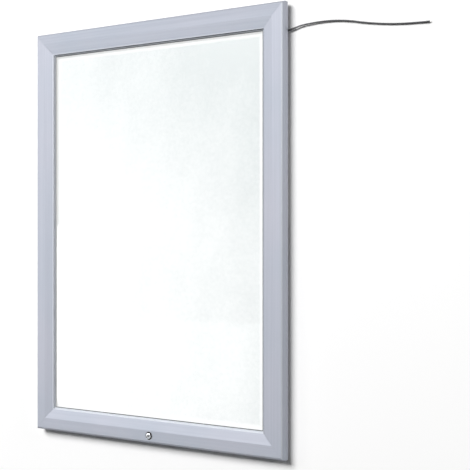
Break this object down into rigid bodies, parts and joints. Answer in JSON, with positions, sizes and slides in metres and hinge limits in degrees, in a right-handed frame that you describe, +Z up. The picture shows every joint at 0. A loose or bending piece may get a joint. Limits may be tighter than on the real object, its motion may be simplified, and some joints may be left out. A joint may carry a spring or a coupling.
{
  "type": "backlit poster case",
  "caption": "Wall-mounted backlit poster case: an edge-lit panel in a shallow aluminium base, behind a glazed door frame that hangs from its top and locks at the bottom.",
  "frame": {"origin": "centre of the back face, in the plane of the wall", "axes": "+Z up along the height, +Y out of the back into the wall, the lit front faces -Y, +X to the right as seen from the front"},
  "size_m": [0.984, 0.0276, 0.924],
  "materials": {
    "anodised_frame": "silver anodised, satin",
    "mill_aluminium": "mill finish extrusion",
    "galvanised_steel": "galvanised sheet",
    "zinc_casting": "zinc die casting",
    "stainless_steel": "bright drawn",
    "chrome_plate": "polished chrome plate",
    "clear_acrylic": "clear cast sheet",
    "opal_acrylic": "opal sheet, lit from behind",
    "white_film": "white reflector film",
    "grey_rubber": "extruded gasket",
    "black_rubber": "foam seal",
    "led_board": "white light strip",
    "lead_sheath": "round two-core lead",
    "terminal_plastic": "moulded"
  },
  "bodies": {
    "case": {"back_panel": "galvanised_steel", "base_bracket_bottom_left": "galvanised_steel", "base_bracket_bottom_right": "galvanised_steel", "base_bracket_top_left": "galvanised_steel", "base_bracket_top_right": "galvanised_steel", "base_rail_bottom": "mill_aluminium", "base_rail_left": "mill_aluminium", "base_rail_right": "mill_aluminium", "base_rail_top": "mill_aluminium", "base_seal": "black_rubber", "diffuser_sheet": "opal_acrylic", "hinge_leaf_case": "stainless_steel", "hinge_pin": "stainless_steel", "inner_lead_left": "lead_sheath", "inner_lead_right": "lead_sheath", "lead_relief": "lead_sheath", "led_channel_left": "mill_aluminium", "led_channel_right": "mill_aluminium", "led_strip_left": "led_board", "led_strip_right": "led_board", "light_guide": "clear_acrylic", "panel_clip_bottom_left": "galvanised_steel", "panel_clip_bottom_right": "galvanised_steel", "panel_clip_top_left": "galvanised_steel", "panel_clip_top_right": "galvanised_steel", "power_lead": "lead_sheath", "reflector_sheet": "white_film", "stay_track_left": "galvanised_steel", "stay_track_right": "galvanised_steel", "strike_plate": "galvanised_steel", "supply_tail": "lead_sheath", "terminal_block": "terminal_plastic"},
    "door": {"door_rail_bottom": "anodised_frame", "door_rail_top": "anodised_frame", "door_rail_right": "anodised_frame", "door_rail_left": "anodised_frame", "door_corner_key_bottom_left": "zinc_casting", "door_corner_key_bottom_right": "zinc_casting", "door_corner_key_top_left": "zinc_casting", "door_corner_key_top_right": "zinc_casting", "front_sheet": "clear_acrylic", "glazing_gasket": "grey_rubber", "glazing_bead_bottom": "mill_aluminium", "glazing_bead_top": "mill_aluminium", "glazing_bead_right": "mill_aluminium", "glazing_bead_left": "mill_aluminium", "lock_barrel": "chrome_plate", "lock_nut": "stainless_steel", "hinge_leaf_door": "stainless_steel", "stay_rivet_left": "stainless_steel", "stay_rivet_right": "stainless_steel"},
    "lock": {"lock_plug": "chrome_plate", "lock_cam": "galvanised_steel", "cam_screw": "stainless_steel"},
    "stay_left": {"stay_arm_left": "stainless_steel", "stay_pin_left": "stainless_steel"},
    "stay_right": {"stay_arm_right": "stainless_steel", "stay_pin_right": "stainless_steel"}
  },
  "joints": [
    {"name": "door_hinge", "type": "hinge", "parent": "case", "child": "door", "pos_m": [0, -0.01, 0.4574], "axis": [-1, 0, 0], "range_deg": [0, 70]},
    {"name": "lock_turn", "type": "hinge", "parent": "door", "child": "lock", "pos_m": [-0.0025, -0.025, -0.4453], "axis": [0, -1, 0], "range_deg": [0, 90]},
    {"name": "stay_left_pivot", "type": "hinge", "parent": "door", "child": "stay_left", "pos_m": [-0.3355, -0.01, 0.2374], "axis": [-1, 0, 0], "range_deg": [-140, 0]},
    {"name": "stay_right_pivot", "type": "hinge", "parent": "door", "child": "stay_right", "pos_m": [0.3355, -0.01, 0.2374], "axis": [-1, 0, 0], "range_deg": [-140, 0]}
  ],
  "couplings": [
    {"joint": "stay_left_pivot", "follows": "door_hinge", "ratio": -2},
    {"joint": "stay_right_pivot", "follows": "door_hinge", "ratio": -2}
  ]
}
